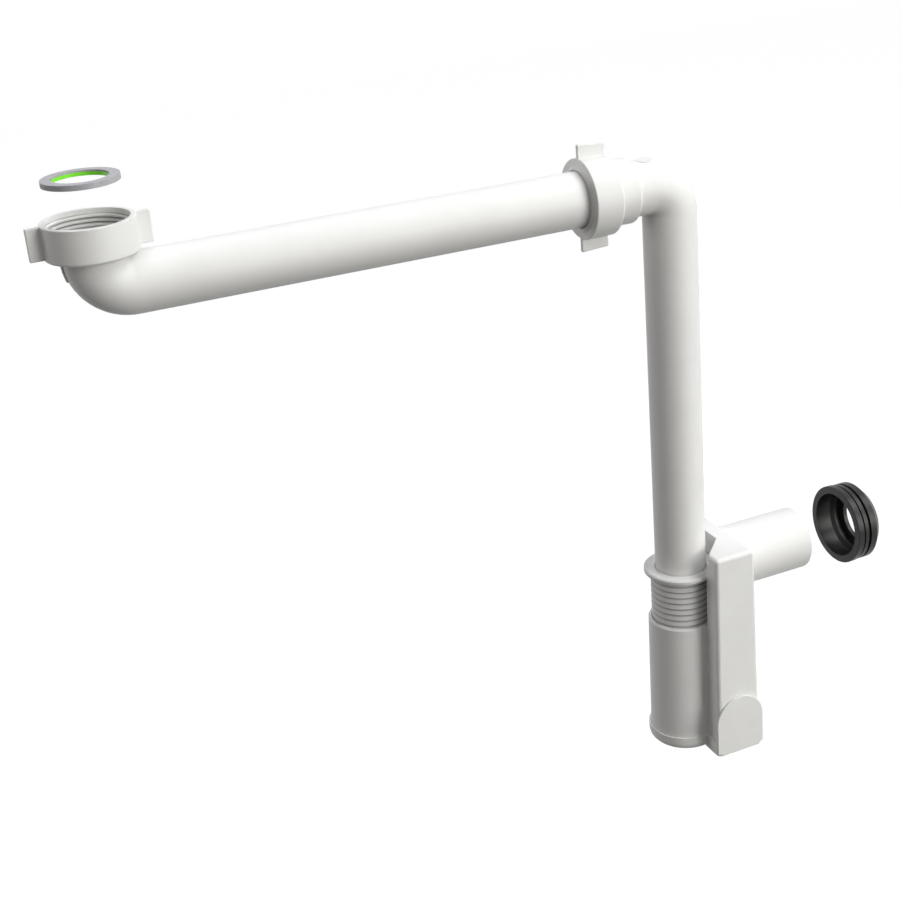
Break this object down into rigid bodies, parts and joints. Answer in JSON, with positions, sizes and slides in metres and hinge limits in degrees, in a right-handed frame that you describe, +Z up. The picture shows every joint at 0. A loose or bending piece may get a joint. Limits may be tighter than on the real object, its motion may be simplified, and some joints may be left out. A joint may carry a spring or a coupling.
{
  "type": "space saving sink trap",
  "caption": "Space saving sink trap with a winged inlet nut, long horizontal arm, down pipe, height-adjustable compact trap and side outlet with a push-on rubber seal.",
  "frame": {"origin": "centre of the inlet nut's mouth", "axes": "+Z up, out of the inlet; +X along the arm, towards the down pipe and the outlet"},
  "size_m": [0.4974, 0.0754, 0.429],
  "materials": {
    "white_plastic": "satin moulded polypropylene",
    "collar_plastic": "satin moulded polypropylene, slightly greyer",
    "slip_plastic": "smooth",
    "washer_rubber": "matte grey rubber",
    "green_lining": "bright green",
    "grey_seal": "matte",
    "black_rubber": "semi-gloss black rubber"
  },
  "bodies": {
    "arm": {"inlet_arm": "white_plastic"},
    "inlet_nut": {"inlet_nut": "white_plastic"},
    "washer": {"inlet_washer": "washer_rubber", "washer_lining": "green_lining"},
    "arm_seal": {"arm_seal": "grey_seal"},
    "down_pipe": {"down_pipe": "white_plastic"},
    "arm_ring": {"arm_slip_ring": "slip_plastic"},
    "arm_nut": {"arm_nut": "white_plastic"},
    "collar_seal": {"collar_seal": "grey_seal"},
    "trap": {"trap_body": "white_plastic"},
    "collar_ring": {"collar_slip_ring": "slip_plastic"},
    "collar": {"collar": "collar_plastic"},
    "cover": {"bottom_cover": "white_plastic", "cover_seal": "grey_seal"},
    "outlet_seal": {"outlet_seal": "black_rubber"}
  },
  "joints": [
    {"name": "inlet_nut_spin", "type": "hinge", "parent": "arm", "child": "inlet_nut", "pos_m": [0, 0, 0], "axis": [0, 0, 1], "continuous": true},
    {"name": "washer_drop", "type": "slide", "parent": "arm", "child": "washer", "axis": [0, 0, -1], "range_m": [0, 0.0294]},
    {"name": "arm_telescope", "type": "slide", "parent": "arm", "child": "arm_seal", "axis": [1, 0, 0], "range_m": [-0.006, 0.006]},
    {"name": "pipe_swing", "type": "hinge", "parent": "arm_seal", "child": "down_pipe", "pos_m": [0.297, 0, -0.036], "axis": [1, 0, 0], "continuous": true},
    {"name": "arm_ring_slide", "type": "slide", "parent": "down_pipe", "child": "arm_ring", "axis": [-1, 0, 0], "range_m": [0, 0.016]},
    {"name": "arm_nut_screw", "type": "hinge", "parent": "arm_ring", "child": "arm_nut", "pos_m": [0.275, 0, -0.036], "axis": [-1, 0, 0], "range_deg": [0, 1440]},
    {"name": "trap_height", "type": "slide", "parent": "down_pipe", "child": "collar_seal", "axis": [0, 0, 1], "range_m": [-0.011, 0.015]},
    {"name": "trap_swivel", "type": "hinge", "parent": "collar_seal", "child": "trap", "pos_m": [0.327, 0, -0.366], "axis": [0, 0, 1], "continuous": true},
    {"name": "collar_ring_slide", "type": "slide", "parent": "trap", "child": "collar_ring", "axis": [0, 0, 1], "range_m": [-0.03, 0.008]},
    {"name": "collar_screw", "type": "hinge", "parent": "collar_ring", "child": "collar", "pos_m": [0.327, 0, -0.33], "axis": [0, 0, 1], "range_deg": [-2700, 720]},
    {"name": "cover_pull", "type": "slide", "parent": "trap", "child": "cover", "axis": [0, 0, -1], "range_m": [0, 0.05]},
    {"name": "seal_push_on", "type": "slide", "parent": "trap", "child": "outlet_seal", "axis": [-1, 0, 0], "range_m": [0, 0.05]}
  ],
  "couplings": [
    {"joint": "arm_nut_screw", "follows": "arm_ring_slide", "rad_per_m": 1570.8},
    {"joint": "collar_screw", "follows": "collar_ring_slide", "rad_per_m": 1570.8}
  ]
}
